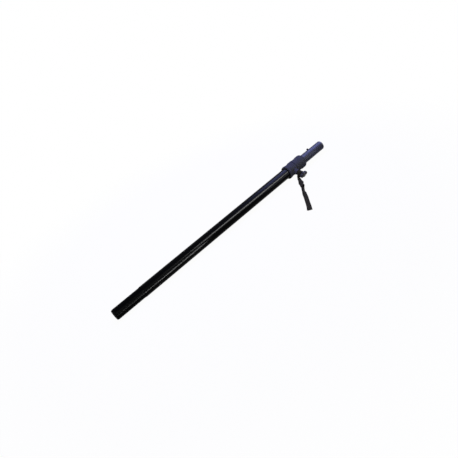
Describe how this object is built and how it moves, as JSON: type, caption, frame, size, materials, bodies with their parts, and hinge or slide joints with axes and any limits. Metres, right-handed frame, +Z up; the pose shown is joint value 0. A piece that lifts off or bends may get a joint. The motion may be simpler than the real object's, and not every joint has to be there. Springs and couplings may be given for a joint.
{
  "type": "telescopic loudspeaker pole",
  "caption": "Telescopic distance pole that stands a loudspeaker on a bass cabinet: plug-in spigot, main tube, clamp collar with wing knob and strap, sliding inner tube with snap button.",
  "frame": {"origin": "on the pole's axis, in the plane where the spigot's plain wall meets the taper up to the main tube", "axes": "+X along the pole from the spigot to the top end, +Z up as it lies on a floor with the clamp knob to the side, -Y towards the knob"},
  "size_m": [0.989, 0.2504, 0.0503],
  "materials": {
    "tube_gloss": "gloss black powder coat on steel tube",
    "spigot_paint": "satin black coat on steel, rubbed by the socket",
    "inner_paint": "semi-gloss blue-black coat on steel tube",
    "collar_plastic": "moulded glass-filled nylon, fine grain",
    "knob_plastic": "moulded nylon, satin",
    "end_plastic": "moulded black polyethylene, satin",
    "nylon": "natural nylon",
    "rubber": "black rubber",
    "steel": "zinc plated steel",
    "button_steel": "blackened steel pin",
    "brass": "turned brass",
    "webbing": "woven black webbing"
  },
  "bodies": {
    "outer": {"outer_tube": "tube_gloss", "base_spigot": "spigot_paint", "spigot_plug": "end_plastic", "spigot_rivets": "steel", "spigot_bumper": "rubber", "collar_body": "collar_plastic", "collar_cap": "collar_plastic", "collar_bush": "nylon", "collar_screws": "steel", "clamp_insert": "brass", "strap_loop": "webbing", "strap_tail": "webbing"},
    "clamp": {"clamp_shoe": "nylon"},
    "knob": {"knob_stud": "steel", "knob_head": "knob_plastic", "knob_cap": "end_plastic"},
    "guides": {"stop_ring": "nylon", "guide_ring": "nylon"},
    "inner": {"inner_tube": "inner_paint", "guide_plug": "nylon", "plug_rivets": "steel", "top_cap": "end_plastic", "button_spring": "steel"},
    "button": {"snap_button": "button_steel"}
  },
  "joints": [
    {"name": "clamp_feed", "type": "slide", "parent": "outer", "child": "clamp", "axis": [0, -0.9636, -0.2672], "range_m": [0, 0.003]},
    {"name": "knob_turn", "type": "hinge", "parent": "clamp", "child": "knob", "pos_m": [0.71, 0, 0], "axis": [0, -0.9636, -0.2672], "range_deg": [0, 720.5]},
    {"name": "inner_slide", "type": "slide", "parent": "outer", "child": "guides", "axis": [1, 0, 0], "range_m": [-0.0225, 0.52]},
    {"name": "inner_turn", "type": "hinge", "parent": "guides", "child": "inner", "pos_m": [0, 0, 0], "axis": [1, 0, 0], "continuous": true},
    {"name": "button_press", "type": "slide", "parent": "inner", "child": "button", "axis": [0, 0.4226, 0.9063], "range_m": [-0.006, 0], "stiffness_N_per_m": 800, "springref_m": 0.004, "deforming": ["button_spring"]}
  ],
  "couplings": [
    {"joint": "knob_turn", "follows": "clamp_feed", "rad_per_m": 4188.8}
  ]
}
